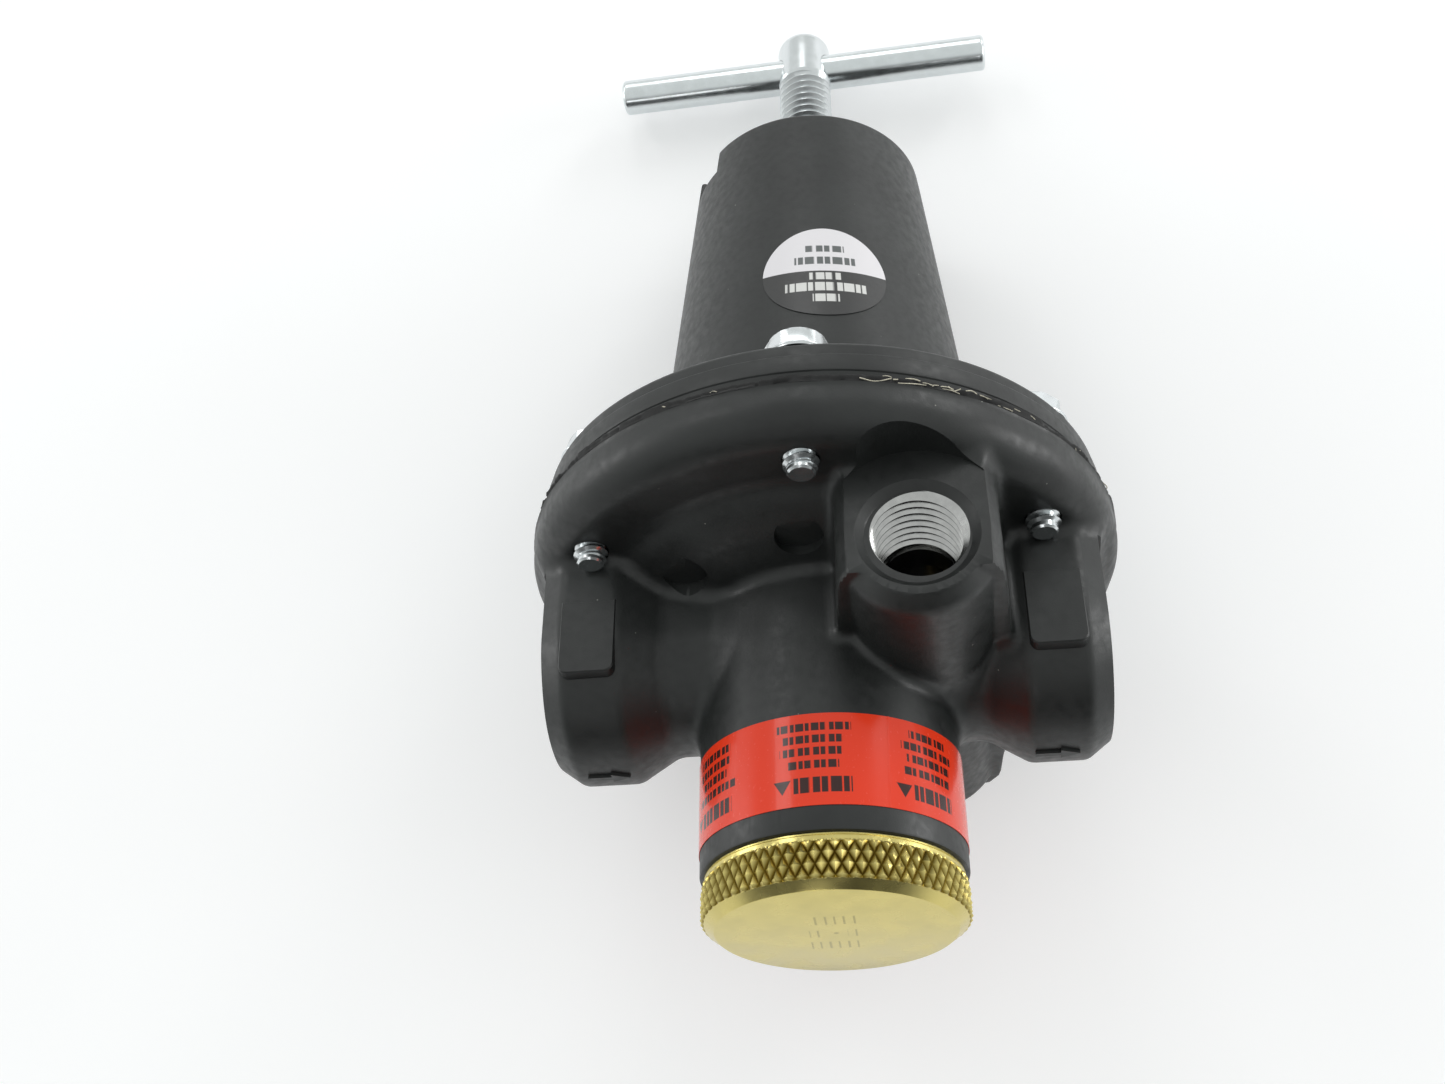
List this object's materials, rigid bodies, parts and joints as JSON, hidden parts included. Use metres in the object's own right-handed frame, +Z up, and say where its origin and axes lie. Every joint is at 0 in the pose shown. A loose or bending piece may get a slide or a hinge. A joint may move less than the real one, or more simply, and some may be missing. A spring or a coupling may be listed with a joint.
{
  "type": "air pressure regulator",
  "caption": "Diaphragm air pressure regulator with a black die-cast body and bell bonnet, pipe ports on both sides, gauge ports, a T-handle adjusting screw and a knurled brass bottom plug.",
  "frame": {"origin": "centre of the bottom plug's flat face, which the part stands on", "axes": "+Z up the adjusting screw to the T-handle, +X with the flow from the inlet port to the outlet port, -Y through the front gauge port"},
  "size_m": [0.0856, 0.0856, 0.171],
  "materials": {
    "cast_black": "semi-matt black coating on a die casting",
    "bonnet_black": "semi-matt black coating on a die casting",
    "screw_zinc": "bright zinc plate",
    "diaphragm_rubber": "matt, rough cut edge",
    "plate_steel": "plated pressing",
    "turned_brass": "turned",
    "spring_steel": "drawn wire",
    "bar_zinc": "bright zinc plate",
    "seal_rubber": "matt",
    "stem_steel": "ground stainless steel",
    "guide_plastic": "moulded",
    "plug_brass": "turned and diamond knurled",
    "band_label": "glossy printed film",
    "round_label": "satin printed film"
  },
  "bodies": {
    "root": {"body": "cast_black", "bonnet": "bonnet_black", "bonnet_screws": "screw_zinc", "diaphragm": "diaphragm_rubber", "valve_seat": "turned_brass", "stem_guide": "guide_plastic", "aspirator_tube": "turned_brass", "bottom_plug": "plug_brass", "plug_o_ring": "seal_rubber", "stem_o_ring": "seal_rubber", "neck_label": "band_label", "round_label": "round_label", "valve_spring": "spring_steel"},
    "spring_rest": {"spring_button": "plate_steel", "range_spring": "spring_steel"},
    "t_handle": {"adjusting_screw": "screw_zinc", "t_bar": "bar_zinc"},
    "diaphragm_stack": {"upper_diaphragm_plate": "plate_steel", "lower_diaphragm_plate": "plate_steel", "relief_hub": "turned_brass", "hub_nut": "plate_steel"},
    "valve": {"valve_poppet": "turned_brass", "valve_disc": "seal_rubber", "valve_stem": "stem_steel"}
  },
  "joints": [
    {"name": "screw_feed", "type": "slide", "parent": "root", "child": "spring_rest", "axis": [0, 0, 1], "range_m": [-0.01588, 0], "deforming": ["range_spring"]},
    {"name": "handle_turn", "type": "hinge", "parent": "spring_rest", "child": "t_handle", "pos_m": [0, 0, 0.1189], "axis": [0, 0, 1], "range_deg": [-3600, 0]},
    {"name": "diaphragm_travel", "type": "slide", "parent": "root", "child": "diaphragm_stack", "axis": [0, 0, 1], "range_m": [-0.002, 0], "stiffness_N_per_m": 1500, "springref_m": 0.004, "deforming": ["diaphragm"]},
    {"name": "valve_travel", "type": "slide", "parent": "root", "child": "valve", "axis": [0, 0, 1], "range_m": [-0.002, 0], "deforming": ["valve_spring"]}
  ],
  "couplings": [
    {"joint": "handle_turn", "follows": "screw_feed", "rad_per_m": 3957.9},
    {"joint": "valve_travel", "follows": "diaphragm_travel", "ratio": 1}
  ]
}
